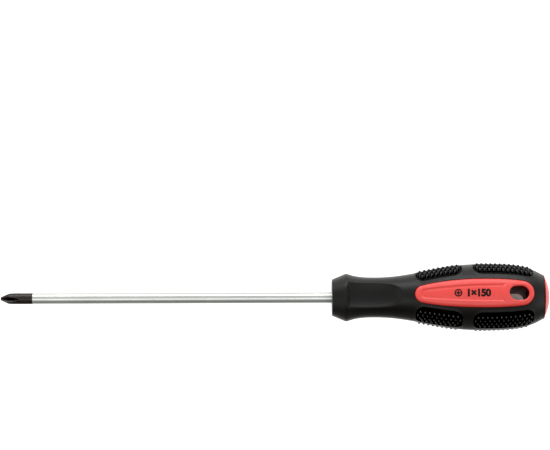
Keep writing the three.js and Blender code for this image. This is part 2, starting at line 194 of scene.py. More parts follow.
def prism(outline, low, high, grow=0.0):
    # an outline of (place, across), pulled along z
    bm = bmesh.new()
    face = bm.faces.new([bm.verts.new((noseX + x, y, low)) for x, y in outline])
    if grow:
        bmesh.ops.recalc_face_normals(bm, faces=[face])
        offsetOutline(bm, grow)
    pulled = bmesh.ops.extrude_face_region(bm, geom=bm.faces[:])["geom"]
    bmesh.ops.translate(bm, verts=onlyVerts(pulled), vec=(0, 0, high - low))
    bmesh.ops.recalc_face_normals(bm, faces=bm.faces[:])
    return bm


def offsetOutline(bm, grow):
    # moves each corner of a flat loop outwards along its own normal
    loop = [l.vert for l in bm.faces[:][0].loops]
    places = [v.co.copy() for v in loop]
    area = sum(a.x * b.y - b.x * a.y for a, b in zip(places, places[1:] + places[:1]))
    side = math.copysign(1, area)
    for i, v in enumerate(loop):
        along = (places[(i + 1) % len(loop)] - places[i - 1]).normalized()
        v.co = places[i] + Vector((along.y, -along.x, 0)) * grow * side


def meshFrom(bm, name):
    mesh = bpy.data.meshes.new(name)
    bm.to_mesh(mesh)
    bm.free()
    thing = bpy.data.objects.new(name, mesh)
    bpy.context.scene.collection.objects.link(thing)
    return thing


def combine(target, tools, operation):
    # joins or cuts with the other meshes, then removes them
    for i, tool in enumerate(tools):
        cut = target.modifiers.new("combine" + str(i), "BOOLEAN")
        cut.operation = operation
        cut.solver = "MANIFOLD"
        cut.object = tool
    applyModifiers(target)
    for tool in tools:
        bpy.data.meshes.remove(tool.data)


def evaluatedMesh(thing):
    bpy.context.view_layer.update()
    live = thing.evaluated_get(bpy.context.evaluated_depsgraph_get())
    return bpy.data.meshes.new_from_object(live)


def applyModifiers(thing):
    made = evaluatedMesh(thing)
    made.materials.clear()  # the cut leaves an empty slot behind
    thing.modifiers.clear()
    old = thing.data
    thing.data = made
    bpy.data.meshes.remove(old)


def finishPiece(thing, materials, nodes=(), sharp=35):
    mesh = thing.data
    mesh.transform(Matrix.Scale(mm, 4))
    mesh.name = thing.name
    for material in materials:
        mesh.materials.append(material)
    mesh.shade_smooth()
    mesh.set_sharp_from_angle(angle=math.radians(sharp))
    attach(thing, "root")
    if nodes:
        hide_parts(*nodes)
    print("  piece", thing.name, len(mesh.polygons), "faces")


def linear(code):
    # sRGB hex to linear colour
    parts = [int(code[i:i + 2], 16) / 255 for i in (0, 2, 4)]
    return tuple(p / 12.92 if p <= 0.04045 else ((p + 0.055) / 1.055) ** 2.4 for p in parts) + (1,)


def addNode(tree, kind, settings, links={}):
    node = tree.nodes.new(kind)
    for name, value in settings.items():
        if isinstance(name, str) and hasattr(node, name):
            setattr(node, name, value)
        else:
            node.inputs[name].default_value = value
    for name, socket in links.items():
        tree.links.new(socket, node.inputs[name])
    return node


def newMaterial(name, shader):
    material = bpy.data.materials.new(name)
    material.use_nodes = True
    tree = material.node_tree
    tree.nodes.clear()
    surface = addNode(tree, "ShaderNodeBsdfPrincipled", shader)
    addNode(tree, "ShaderNodeOutputMaterial", {}, {"Surface": surface.outputs[0]})
    place = addNode(tree, "ShaderNodeTexCoord", {})
    return material, tree, surface, place.outputs["Object"]


def tintAndBump(tree, surface, place, colours, tintSize, grainSize, grainDepth, gloss,
                stretch=(1, 1, 1)):
    # soft colour drift, a fine grain bump, and the roughness that goes with the grain; sizes in mm
    drift = addNode(tree, "ShaderNodeTexNoise",
                    {"Scale": 1 / (tintSize * mm), "Detail": 3.0, "Roughness": 0.55}, {"Vector": place})
    tint = addNode(tree, "ShaderNodeValToRGB", {}, {"Fac": drift.outputs["Fac"]})
    for element, colour, position in zip(tint.color_ramp.elements, colours, (0.35, 0.65)):
        element.color = linear(colour)
        element.position = position
    tree.links.new(tint.outputs["Color"], surface.inputs["Base Color"])
    stretched = addNode(tree, "ShaderNodeMapping", {"Scale": stretch}, {"Vector": place})
    grain = addNode(tree, "ShaderNodeTexNoise", {"Scale": 1 / (grainSize * mm), "Detail": 2.0},
                    {"Vector": stretched.outputs[0]})
    bump = addNode(tree, "ShaderNodeBump", {"Strength": 1.0, "Distance": grainDepth * mm},
                   {"Height": grain.outputs["Fac"]})
    tree.links.new(bump.outputs[0], surface.inputs["Normal"])
    shine = addNode(tree, "ShaderNodeMapRange",
                    {"From Min": 0.3, "From Max": 0.7, "To Min": gloss[0], "To Max": gloss[1]},
                    {"Value": grain.outputs["Fac"]})
    tree.links.new(shine.outputs["Result"], surface.inputs["Roughness"])


def satinChrome():
    # chrome vanadium steel, centreless ground and satin chrome plated: the fine rings round the bar
    # smear each light along it, so the shank shows soft lengthwise bands
    look = {"Metallic": 1.0, "Anisotropic": 0.8}
    material, tree, surface, place = newMaterial("chromeVanadiumSatinChrome", look)
    # the real rings stand about 0.05 mm apart, drawn at 0.4 mm so that they show
    tintAndBump(tree, surface, place, ("bfc2bd", "c8cbc6"),
                tintSize=16.67, grainSize=0.4, grainDepth=0.0002, gloss=(0.34, 0.4),
                stretch=(1, 0.04, 0.04))
    along = addNode(tree, "ShaderNodeCombineXYZ", {0: 1.0})
    tree.links.new(along.outputs[0], surface.inputs["Tangent"])
    return material


def blackPhosphate():
    # hardened tip with a black phosphate finish: dull brownish black, a little mottled
    material, tree, surface, place = newMaterial("blackPhosphateSteel", {"Metallic": 0.55})
    # the real crystals are a few hundredths of a millimetre, drawn at 0.25 mm so that they show
    tintAndBump(tree, surface, place, ("1f1c19", "2d2925"),
                tintSize=1.111, grainSize=0.25, grainDepth=0.006, gloss=(0.28, 0.42))
    return material


def redPolypropylene():
    # polypropylene copolymer, moulded with a semi-gloss surface: even strong red with soft broad
    # highlights, and a faint waviness about half a millimetre wide
    look = {"IOR": 1.49, "Specular IOR Level": 0.5}
    material, tree, surface, place = newMaterial("redPolypropyleneMoulded", look)
    tintAndBump(tree, surface, place, ("c93a35", "cd3e39"),
                tintSize=22.22, grainSize=0.5, grainDepth=0.003, gloss=(0.3, 0.4))
    return material


def softTouchRubber():
    # thermoplastic rubber moulded over the core, spark-eroded matte: deep warm grey-black, pale only
    # at grazing light
    look = {"IOR": 1.5, "Specular IOR Level": 0.25, "Sheen Weight": 0.1, "Sheen Roughness": 0.4}
    material, tree, surface, place = newMaterial("softTouchTprMatte", look)
    # the real texture is about 0.1 mm, drawn at 0.3 mm so that it shows
    tintAndBump(tree, surface, place, ("0a0908", "0d0c0b"),
                tintSize=12.5, grainSize=0.3, grainDepth=0.008, gloss=(0.36, 0.46))
    return material


def studRubber():
    # harder thermoplastic rubber from a polished cavity: jet black with small bright lights on each
    # stud
    look = {"IOR": 1.51, "Specular IOR Level": 0.4}
    material, tree, surface, place = newMaterial("studRubberPolished", look)
    tintAndBump(tree, surface, place, ("050505", "090909"),
                tintSize=8.333, grainSize=0.3, grainDepth=0.003, gloss=(0.13, 0.2))
    return material


def studFloorRubber():
    # the same rubber between the studs, where the cavity was left spark-eroded: dull black that
    # takes no highlight
    look = {"IOR": 1.51, "Specular IOR Level": 0.1}
    material, tree, surface, place = newMaterial("studRubberEroded", look)
    tintAndBump(tree, surface, place, ("040404", "070707"),
                tintSize=8.333, grainSize=0.3, grainDepth=0.006, gloss=(0.6, 0.7))
    return material


def coreRed():
    # the core shot is polypropylene, matte; its dark brownish red is painted shade, darker than the red
    # plastic's own colour, so that the inside of the hang hole, the only place it shows, reads as shade
    material, tree, surface, place = newMaterial("redPolypropyleneCore", {"IOR": 1.49})
    tintAndBump(tree, surface, place, ("40120f", "4a1613"),
                tintSize=22.22, grainSize=0.5, grainDepth=0.004, gloss=(0.5, 0.6))
    return material


def naturalPolyamide():
    # glass-filled polyamide left natural, moulded: milky beige and dull
    material, tree, surface, place = newMaterial("naturalPolyamideMoulded", {"IOR": 1.53})
    tintAndBump(tree, surface, place, ("cbc5b6", "d6d0c2"),
                tintSize=16.67, grainSize=0.4, grainDepth=0.004, gloss=(0.5, 0.62))
    return material


def padPrintInk():
    # black pad-printing ink on the label: flat, thin and slightly rough
    look = {"IOR": 1.5, "Specular IOR Level": 0.2}
    material, tree, surface, place = newMaterial("padPrintInkBlack", look)
    tintAndBump(tree, surface, place, ("0d0a09", "130f0d"),
                tintSize=3.333, grainSize=0.3, grainDepth=0.002, gloss=(0.4, 0.5))
    return material


chrome = satinChrome()
tipBlack = blackPhosphate()
redPlastic = redPolypropylene()
gripBlack = softTouchRubber()
studBlack = studRubber()
studFloor = studFloorRubber()
holeShadeCoreMaterial = coreRed()
coreNatural = naturalPolyamide()
printInk = padPrintInk()
print("materials ready")


blade = {
    "shankRadius": 2.5,
    "tipEndRadius": 0.65,
    "tipEdge": 0.15,
    "coneAngle": 26.5,
    "coneBlend": 0.5,
    "fluteFloor": 0.6,
    "fluteRunOut": 8.8,
    "fluteHalfAngle": 46,
    "fluteTurns": (20, 110, 200, 290),
    "blackLength": 14.5,
    "tangDepth": 68,
    "tangChamfer": 0.8,
    "wings": (56, 66, 4.6, 0.65),  # from, to, half-width, half-thickness
    "wingRound": 0.4,
    "sides": 96,
    "wheelSides": 240,
}


def fluteWheel(turn):
    # a grinding wheel with a vee rim, its lowest point over the tip's end
    b = blade
    rise = b["shankRadius"] - b["fluteFloor"]
    radius = (b["fluteRunOut"] ** 2 + rise ** 2) / (2 * rise)
    depth = 2 * b["shankRadius"]
    flank = depth * math.tan(math.radians(b["fluteHalfAngle"]))
    rim = [(-flank, 0), (-flank, radius - depth), (0, radius), (flank, radius - depth), (flank, 0)]
    wheel = spinProfile(rim, b["wheelSides"])
    upright, turned = Matrix.Rotation(math.pi / 2, 3, "Z"), Matrix.Rotation(turn, 3, "X")
    bmesh.ops.rotate(wheel, verts=wheel.verts[:], cent=(0, 0, 0), matrix=upright)
    bmesh.ops.translate(wheel, verts=wheel.verts[:], vec=(0, 0, b["fluteFloor"] + radius))
    bmesh.ops.rotate(wheel, verts=wheel.verts[:], cent=(0, 0, 0), matrix=turned)
    return meshFrom(wheel, "fluteWheel")


def makeBlade():
    b = blade
    cone = (b["shankRadius"] - b["tipEndRadius"]) / math.tan(math.radians(b["coneAngle"]))
    tangEnd = noseX + b["tangDepth"]
    profile = [
        (0, 0),
        (0, b["tipEndRadius"]),
        (cone, b["shankRadius"]),
        (b["blackLength"], b["shankRadius"]),
        (tangEnd - b["tangChamfer"], b["shankRadius"]),
        (tangEnd, b["shankRadius"] - b["tangChamfer"]),
        (tangEnd, 0),
    ]
    bevels = [(1, b["tipEdge"], 4), (2, b["coneBlend"], 4)]
    bar = meshFrom(spinProfile(profile, b["sides"], bevels=bevels), "blade_steel")
    combine(bar, [fluteWheel(math.radians(turn)) for turn in b["fluteTurns"]], "DIFFERENCE")
    start, end, halfWidth, halfThick = b["wings"]
    wings = bmesh.new()
    bmesh.ops.create_cube(wings, size=1)
    bmesh.ops.scale(wings, verts=wings.verts[:], vec=(end - start, 2 * halfWidth, 2 * halfThick))
    bmesh.ops.bevel(wings, geom=wings.edges[:], offset=b["wingRound"], segments=3, profile=0.5,
                    affect="EDGES", material=-1)
    bmesh.ops.translate(wings, verts=wings.verts[:], vec=(noseX + (start + end) / 2, 0, 0))
    combine(bar, [meshFrom(wings, "wings")], "UNION")
    finishPiece(bar, [tipBlack, chrome], ["blade"], sharp=30)
    # the black finish ends in a clean ring round the bar
    for face in bar.data.polygons:
        face.material_index = int(face.center.x > b["blackLength"] * mm)


makeBlade()
print("blade done")


hole = {"fromEnd": 14.8, "halfLength": 4.55, "halfWidth": 3.3, "rim": 2.35}
holePlace = handleEnd - hole["fromEnd"]

panel = {
    "front": 37.1,
    "frontRadius": 4.0,
    "bulge": 1.55,
    "rearDip": 0.2,  # less bulge towards the hang hole
    "leans": (13, 5),  # degrees short of a half circle at the front end and the rear end
    "pulls": (0.3, 0.2),  # shares of the way between the ends where the side's curve is pulled out
    "rise": 0.45,  # above the grip
    "rimRound": 1.1,
    "mouthRound": 0.8,
    "mouthDrop": 0.4,
    "depth": 2.5,
    "cellsAlong": 260,
    "cellsAcross": 110,
    "recessDepth": 0.5,
    "recessWall": 0.8,
    "groove": 0.07,  # the mould's edge line at the foot of the wall
    "grooveWidth": 0.22,
    "recessFront": 39.8,
    "recessFrontHalf": 2.1,
    "recessRearHalf": 3.8,
    "recessToHole": 7.6,
    "seam": 0.14,  # open line between the panel and the grip
}
rearRadius = hole["halfWidth"] + hole["rim"]
rearCentre = holePlace + hole["halfLength"] + hole["rim"] - rearRadius


def mirrored(half):
    # a half outline from front to back, closed by its mirror image
    return half + [(x, -y) for x, y in reversed(half[1:-1])]


def panelHalf():
    frontCentre = panel["front"] + panel["frontRadius"]
    frontLean, rearLean = panel["leans"]
    frontPull, rearPull = panel["pulls"]
    span = rearCentre - frontCentre
    swell = max(panel["frontRadius"], rearRadius) + panel["bulge"]
    front = arcPoints(frontCentre, 0, panel["frontRadius"], 180, 90 + frontLean, 20)
    rear = arcPoints(rearCentre, 0, rearRadius, 90 - rearLean, 0, 24)
    side = interpolate_bezier(front[-1], (frontCentre + frontPull * span, swell),
                              (rearCentre - rearPull * span, swell - panel["rearDip"]), rear[0], 40)
    return front + [(p.x, p.y) for p in side[1:-1]] + rear


def recessHalf():
    half = math.asin(panel["recessRearHalf"] / panel["recessToHole"])
    rearEdge = holePlace - panel["recessToHole"] * math.cos(half)
    frontCentre = panel["recessFront"] + panel["recessFrontHalf"]
    front = arcPoints(frontCentre, 0, panel["recessFrontHalf"], 180, 90, 10)
    # the side is a curve with one pull point, given as the two that a bezier takes
    knot1 = Vector(front[-1])
    knot2 = Vector((rearEdge, panel["recessRearHalf"]))
    pull = Vector(((panel["recessFront"] + rearEdge) / 2, panel["recessRearHalf"]))
    side = interpolate_bezier(knot1, knot1.lerp(pull, 2 / 3), knot2.lerp(pull, 2 / 3), knot2, 24)
    rear = arcPoints(holePlace, 0, panel["recessToHole"], 180 - math.degrees(half), 180, 10)
    return front + [(p.x, p.y) for p in side[1:-1]] + rear


def holeOutline(grow=0.0, steps=24):
    reach = hole["halfLength"] - hole["halfWidth"]
    radius = hole["halfWidth"] + grow
    return (arcPoints(holePlace + reach, 0, radius, -90, 90, steps)
            + arcPoints(holePlace - reach, 0, radius, 90, 270, steps))


panelOutline = mirrored(panelHalf())
recessOutline = mirrored(recessHalf())


def panelTop(place, across):
    # how far the panel stands above the grip's line
    rim = np.clip(distanceInside(panelOutline, place, across), 0, panel["rimRound"])
    mouth = np.clip(-distanceInside(holeOutline(), place, across), 0, panel["mouthRound"])
    recess = distanceInside(recessOutline, place, across)
    rimDrop = panel["rimRound"] - np.sqrt(panel["rimRound"] ** 2 - (panel["rimRound"] - rim) ** 2)
    mouthDrop = panel["mouthDrop"] * (1 - mouth / panel["mouthRound"]) ** 2
    wall = panel["recessWall"]
    recessDrop = panel["recessDepth"] * smoothStep(recess, -wall / 2, wall / 2)
    recessDrop += panel["groove"] * np.exp(-((recess - wall) / panel["grooveWidth"]) ** 2)
    return panel["rise"] - rimDrop - mouthDrop - recessDrop


def surfaceHeight(place, across, above, least=0.1):
    # height over the tool's middle plane of a skin that stands above the grip's line
    return np.sqrt(np.maximum((softRadius(place) + above) ** 2 - across ** 2, least ** 2))


def makePanel(name, turn, node):
    half = np.array(panelHalf())
    bm = bmesh.new()
    bmesh.ops.create_grid(bm, x_segments=panel["cellsAlong"], y_segments=panel["cellsAcross"], size=1)

    def shape(x, y, z):
        # cells crowd towards both ends so that the round ends come out smooth
        place = half[0, 0] + (half[-1, 0] - half[0, 0]) * (0.5 - 0.5 * np.cos(math.pi * (x + 1) / 2))
        across = y * np.interp(place, half[:, 0], half[:, 1])
        return noseX + place, across, surfaceHeight(place, across, panelTop(place, across))

    moveVerts(bm, shape)
    bmesh.ops.remove_doubles(bm, verts=bm.verts[:], dist=weld)
    top = set(bm.verts)
    bmesh.ops.extrude_face_region(bm, geom=bm.faces[:], use_keep_orig=True)
    under = [v for v in bm.verts if v not in top]
    for v in under:
        v.co.z = float(surfaceHeight(v.co.x - noseX, v.co.y, -panel["depth"]))
    bmesh.ops.recalc_face_normals(bm, faces=bm.faces[:])
    made = meshFrom(bm, name)
    combine(made, [meshFrom(prism(holeOutline(), 0, outside), "holeTool")], "DIFFERENCE")
    made.data.transform(Matrix.Rotation(turn, 4, "X"))
    finishPiece(made, [redPlastic], [node])


def panelFloor(x, y, z):
    # lays flat artwork on the label field
    return x, y, surfaceHeight(x - noseX, y, panelTop(x - noseX, y)) + z


label = {
    "size": "1\u00d7150",
    "height": 3.1,
    "capShare": 0.7,  # a figure's height as a share of the letter size
    "boldness": 0.26,
    "spacing": 0.95,
    "text": 59.8,  # where the figures start
    "row": -0.05,
    "badge": 56.3,
    "badgeRadius": 1.75,
    "badgeLine": 0.6,
    "crossReach": 0.95,
    "crossHalf": 0.33,
    "cell": 0.4,  # the print is cut this fine, to follow the panel's curve
    "thickness": 0.06,
    "proud": 0.025,
}


def sizeFigures():
    l = label
    curve = bpy.data.curves.new("sizeFigures", "FONT")
    curve.body = l["size"]
    curve.size = l["height"] / l["capShare"]
    curve.offset = l["boldness"]
    curve.space_character = l["spacing"]
    writing = bpy.data.objects.new("sizeFigures", curve)
    bpy.context.scene.collection.objects.link(writing)
    flat = evaluatedMesh(writing)
    bpy.data.objects.remove(writing)
    bpy.data.curves.remove(curve)
    bm = bmesh.new()
    bm.from_mesh(flat)
    bpy.data.meshes.remove(flat)
    bmesh.ops.translate(bm, verts=bm.verts[:], vec=(noseX + l["text"], l["row"] - l["height"] / 2, 0))
    return bm


def tipBadge(bm):
    # a ring round a plain cross, the usual sign for a cross tip
    l = label
    centre = Vector((noseX + l["badge"], l["row"], 0))
    middle = Matrix.Translation(centre)
    rings = []
    for radius in (l["badgeRadius"], l["badgeRadius"] - l["badgeLine"]):
        circle = bmesh.ops.create_circle(bm, cap_ends=False, segments=40, radius=radius, matrix=middle)
        rings += dict.fromkeys(e for v in circle["verts"] for e in v.link_edges)
    bmesh.ops.bridge_loops(bm, edges=rings)
    # three by three cells: the outer lines go to the cross's reach, the inner ones to its half width
    cross = bmesh.ops.create_grid(bm, x_segments=3, y_segments=3, size=1, matrix=middle)["verts"]
    for v in cross:
        for axis in range(2):
            away = v.co[axis] - centre[axis]
            reach = l["crossReach"] if abs(away) > 0.5 else l["crossHalf"]
            v.co[axis] = centre[axis] + math.copysign(reach, away)
    corners = []
    for face in dict.fromkeys(f for v in cross for f in v.link_faces):
        away = face.calc_center_median() - centre
        if min(abs(away.x), abs(away.y)) > l["crossHalf"]:
            corners.append(face)
    bmesh.ops.delete(bm, geom=corners, context="FACES")


def makeLabel():
    l = label
    bm = sizeFigures()
    tipBadge(bm)
    for axis in range(2):
        across = Vector((axis == 0, axis == 1, 0))
        reach = [v.co[axis] for v in bm.verts]
        for cut in np.arange(min(reach), max(reach), l["cell"])[1:]:
            bmesh.ops.bisect_plane(bm, geom=bm.verts[:] + bm.edges[:] + bm.faces[:], dist=weld,
                                   plane_co=across * cut, plane_no=across)
    bmesh.ops.triangulate(bm, faces=bm.faces[:])
    for v in bm.verts:
        v.co.z = l["proud"] - l["thickness"]
    top = bmesh.ops.extrude_face_region(bm, geom=bm.faces[:], use_keep_orig=True)["geom"]
    bmesh.ops.translate(bm, verts=onlyVerts(top), vec=(0, 0, l["thickness"]))
    moveVerts(bm, panelFloor)
    bmesh.ops.recalc_face_normals(bm, faces=bm.faces[:])
    finishPiece(meshFrom(bm, "label_print"), [printInk], sharp=30)


makePanel("panel_front_red", 0, "front_panel")
makePanel("panel_back_red", math.pi, "back_panel")
makeLabel()
print("panels done")


core = {
    "front": 30,
    "holeDraft": 0.18,  # how much narrower its hole is than the panels' mouths
    "tangPocket": [(20, 0), (20, 5.2), (50, 5.2), (54, 8.5), (73.5, 8.5), (73.5, 0)],
    "spigotGaps": (0.15, 0.2),  # round the cap's spigot and behind it
    "sides": 96,
}

cap = {
    "rim": 9.9,
    "edge": 0.25,
    "seat": 0.15,  # open line between the cap and the grip
    "spigot": 4.5,
    "spigotDepth": 5,
    "sides": 128,
}


def makeCore():
    # the grip's line, thinner, with a slightly narrower hole that leaves a step behind the panels
    wall = handle["gripWall"] + handle["coreGap"]
    roundGap, endGap = core["spigotGaps"]
    socketEnd = gripEnd - cap["spigotDepth"] - endGap
    places = np.linspace(core["front"], gripEnd, 90)
    profile = [(noseX + places[0], 0)]
    profile += [(noseX + s, float(softRadius(s)) - wall) for s in places]
    profile += [(noseX + gripEnd, cap["spigot"] + roundGap)]
    profile += [(noseX + socketEnd, cap["spigot"] + roundGap)]
    profile += [(noseX + socketEnd, 0)]
    made = meshFrom(spinProfile(profile, core["sides"]), "core_red")
    bore = meshFrom(prism(holeOutline(-core["holeDraft"]), -outside, outside), "holeTool")
    tang = [(noseX + place, radius) for place, radius in core["tangPocket"]]
    combine(made, [bore, meshFrom(spinProfile(tang, 48), "tangTool")], "DIFFERENCE")
    # the core's dark red is painted shade for the inside of the hang hole
    finishPiece(made, [holeShadeCoreMaterial], ["handle_core"])


def makeCap():
    c = cap
    seat = gripEnd + c["seat"]
    height = handleEnd - seat
    domeRadius = (c["rim"] ** 2 + height ** 2) / (2 * height)
    rimAngle = math.degrees(math.asin(c["rim"] / domeRadius))
    dome = arcPoints(handleEnd - domeRadius, 0, domeRadius, rimAngle, 0, 30)
    profile = [
        (noseX + gripEnd - c["spigotDepth"], 0),
        (noseX + gripEnd - c["spigotDepth"], c["spigot"]),
        (noseX + seat, c["spigot"]),
        (noseX + seat, c["rim"] - c["edge"]),
        (noseX + seat + c["edge"], c["rim"]),
    ]
    profile += [(noseX + x, max(y, 0)) for x, y in dome[1:]]
    made = meshFrom(spinProfile(profile, c["sides"]), "end_cap_red")
    finishPiece(made, [redPlastic], ["end_cap"])


makeCore()
makeCap()
print("core and cap done")


scoop = {
    "start": 6.2,
    "lowest": 17.0,
    "end": 31.5,
    "floor": 6.3,
    "acrossRadius": 17.0,
    "frontRise": 2.1,
    "wallSlope": 30,
    "blend": 0.3,
    "reach": (3, 45),  # nothing outside these places is hollowed
    "halfWidth": 12,
    "skin": 0.3,  # and nothing deeper under the surface than this
}

grip = {
    "step": 0.4,
    "turns": 232,
    "noseRound": 0.5,
    "noseWall": 1.0,
    "throat": 2.62,
    "bore": 5.15,  # in front of the hard core
    "coreSeam": 0.2,
    "skin": (0.6, 0.1),  # the relief fades out between these depths
    "padGap": 0.1,
    "lip": 0.18,  # raised edge round the pads
    "lipPlace": 0.35,
    "lipWidth": 0.9,
    "lipFrom": 34,
}

pads = {
    "columns": {"front_left": -56.5, "back_left": -123.5, "back_right": 123.5, "front_right": 56.5},
    "spans": {"front": (37.8, 58.5), "rear": (63.5, gripEnd - 5.1)},
    "half": 5.3,
    "corner": 4.0,
    "pocket": 1.2,
    "pocketGap": 0.1,  # under the pad
    "pocketTop": 3.0,  # clear of the grip's surface
    "base": -0.45,  # the rubber between the studs, against the grip's line
    "studBase": 0.82,
    "studHeight": 1.35,
    "studTop": 0.47,
    "studRound": 0.22,
    "studSink": 0.1,  # how far a stud runs into its pad
    "firstStud": 0.85,
    "pitch": 2.08,
    "rows": 6,
    "studSides": 12,
}


def padHalf(place, span, grow=0.0):
    corner = pads["corner"] + grow
    toEnd = np.clip(np.minimum(place - span[0] + grow, span[1] + grow - place), 0, corner)
    return pads["half"] + grow - corner + np.sqrt(corner ** 2 - (corner - toEnd) ** 2)


def padOutline(span, steps=12):
    # the pad's outline laid flat: places along, arc lengths across
    corner = pads["corner"]
    turns = np.linspace(0, math.pi / 2, steps)
    rise = span[0] + corner * (1 - np.cos(turns))
    middle = np.linspace(span[0] + corner, span[1] - corner, 20)[1:-1]
    fall = span[1] - corner * (1 - np.cos(turns[::-1]))
    places = np.concatenate([rise, middle, fall])
    half = padHalf(places, span)
    return np.column_stack([np.append(places, places[::-1]), np.append(half, -half[::-1])])


def distanceToPads(place, radius, angle):
    # signed distance to the nearest pad's outline on the unrolled grip, positive inside
    best = np.full(np.shape(place), -np.inf)
    for column in pads["columns"].values():
        turn = (angle - math.radians(column) + math.pi) % (2 * math.pi) - math.pi
        for span in pads["spans"].values():
            best = np.maximum(best, distanceInside(padOutline(span), place, turn * radius))
    return best


def scoopHeight(place, across):
    # the hollow under the thumb: an arc across, a steeper run-out behind, a steep wall in front
    s = scoop
    rearRise = float(gripRadius(s["end"])) - s["floor"]
    behind = np.clip(place - s["lowest"], 0, None) / (s["end"] - s["lowest"])
    before = np.clip(s["lowest"] - place, 0, None) / (s["lowest"] - s["start"])
    across = np.clip(across, -s["halfWidth"], s["halfWidth"])
    sag = s["acrossRadius"] - np.sqrt(s["acrossRadius"] ** 2 - across ** 2)
    bowl = s["floor"] + rearRise * behind ** 3 + s["frontRise"] * before ** 2 + sag
    wall = handle["shoulderRadius"] - (place - s["start"]) / math.tan(math.radians(s["wallSlope"]))
    return np.maximum(bowl, wall)


def gripRelief(x, y, z):
    place = x - noseX
    radius = np.hypot(y, z)
    angle = np.arctan2(-y, z)  # 0 at the front panel, growing towards -Y
    outer = softRadius(place)
    skin = smoothStep(radius, outer - grip["skin"][0], outer - grip["skin"][1])
    # thumb scoops, front and back
    hollow = softMin(np.abs(z), scoopHeight(place, y), scoop["blend"])
    start, end = scoop["reach"]
    inScoop = (place > start) & (place < end) & (radius > outer - scoop["skin"])
    drop = np.where(inScoop, np.minimum(hollow, np.abs(z)), np.abs(z))
    newZ = np.sign(z) * drop
    # lips round the pads
    edge = -distanceToPads(place, outer, angle) - grip["lipPlace"]
    lip = grip["lip"] * np.exp(-(edge / (grip["lipWidth"] / 2)) ** 2) * (place > grip["lipFrom"])
    scale = 1 + skin * lip / np.maximum(radius, 1)  # the 1 keeps the axis from dividing by nothing
    return x, y * scale, newZ * scale


def makeGrip():
    g = grip
    count = int(gripEnd / g["step"])
    places = np.linspace(0, gripEnd, count)
    outer = [(noseX + s, float(softRadius(s))) for s in places]
    wall = handle["gripWall"]
    back = np.linspace(gripEnd, core["front"], 60)
    inner = [(noseX + s, float(softRadius(s)) - wall) for s in back]
    inner += [
        (noseX + core["front"] - g["coreSeam"], g["bore"]),
        (noseX + g["noseWall"], g["bore"]),
        (noseX + g["noseWall"], g["throat"]),
        (noseX, g["throat"]),
    ]
    bm = spinProfile(outer + inner, g["turns"], closed=True, bevels=[(0, g["noseRound"], 4)])
    moveVerts(bm, gripRelief)
    made = meshFrom(bm, "grip_black")
    tools = []
    for turn in (0, math.pi):
        window = prism(panelOutline, 0, outside, grow=panel["seam"])
        side = Matrix.Rotation(turn, 3, "X")
        bmesh.ops.rotate(window, verts=window.verts[:], cent=(0, 0, 0), matrix=side)
        tools.append(meshFrom(window, "panelTool"))
    for column in pads["columns"].values():
        for span in pads["spans"].values():
            pocket = padBlock(span, math.radians(column), g["padGap"],
                              -pads["pocket"], pads["pocketTop"])
            tools.append(meshFrom(pocket, "padTool"))
    combine(made, tools, "DIFFERENCE")
    finishPiece(made, [gripBlack], ["grip_sleeve"], sharp=40)


def wrapPad(bm, turn, floor, top):
    # lays a flat block, x along, y round, z 0 to 1, onto the grip between two offsets

    def lay(x, y, z):
        radius = softRadius(x)
        lifted = radius + floor + (top - floor) * z
        angle = turn + y / radius
        return noseX + x, -lifted * np.sin(angle), lifted * np.cos(angle)

    moveVerts(bm, lay)


def padGrid(span, grow, xCells, yCells):
    bm = bmesh.new()
    bmesh.ops.create_grid(bm, x_segments=xCells, y_segments=yCells, size=1)
    middle, reach = (span[0] + span[1]) / 2, (span[1] - span[0]) / 2 + grow

    def shape(x, y, z):
        # cells crowd towards both ends so that the round corners come out smooth
        place = middle + reach * np.sin(x * math.pi / 2)
        return place, y * padHalf(place, span, grow), z

    moveVerts(bm, shape)
    bmesh.ops.remove_doubles(bm, verts=bm.verts[:], dist=weld)
    return bm


def padBlock(span, turn, grow, floor, top):
    bm = padGrid(span, grow, 60, 16)
    pulled = bmesh.ops.extrude_face_region(bm, geom=bm.faces[:], use_keep_orig=True)["geom"]
    for v in onlyVerts(pulled):
        v.co.z = 1
    wrapPad(bm, turn, floor, top)
    bmesh.ops.recalc_face_normals(bm, faces=bm.faces[:])
    return bm


def makeStud():
    # one round stud with a softened flat top, standing on z = 0 and sunk a little to join the pad
    p = pads
    bm = bmesh.new()
    depth = p["studHeight"] + p["studSink"]
    bmesh.ops.create_cone(bm, cap_ends=True, cap_tris=False, segments=p["studSides"],
                          radius1=p["studBase"], radius2=p["studTop"], depth=depth)
    top = [e for e in bm.edges if all(v.co.z > 0 for v in e.verts)]
    bmesh.ops.bevel(bm, geom=top, offset=p["studRound"], segments=3, profile=0.5,
                    affect="EDGES", material=-1)
    bmesh.ops.translate(bm, verts=bm.verts[:], vec=(0, 0, depth / 2 - p["studSink"]))
    for face in bm.faces:
        face.material_index = 1  # the polished one of a pad's two materials
    mesh = bpy.data.meshes.new("stud")
    bm.to_mesh(mesh)
    bm.free()
    return mesh


def addStuds(bm, span, turn, stud):
    p = pads
    rowGap = p["pitch"] * math.sqrt(3) / 2  # staggered rows, evenly spaced every way
    for row in range(p["rows"]):
        across = (row - (p["rows"] - 1) / 2) * rowGap
        place = span[0] + p["firstStud"] + (p["pitch"] / 2 if row % 2 else 0)
        while place < span[1] - p["firstStud"]:
            if abs(across) <= padHalf(place, span, -p["firstStud"]):
                radius = float(softRadius(place))
                lay = Matrix.Translation((noseX + place, 0, 0))
                lay @= Matrix.Rotation(turn + across / radius, 4, "X")
                lay @= Matrix.Translation((0, 0, radius + p["base"]))
                stud.transform(lay)
                bm.from_mesh(stud)
                stud.transform(lay.inverted())
            place += p["pitch"]


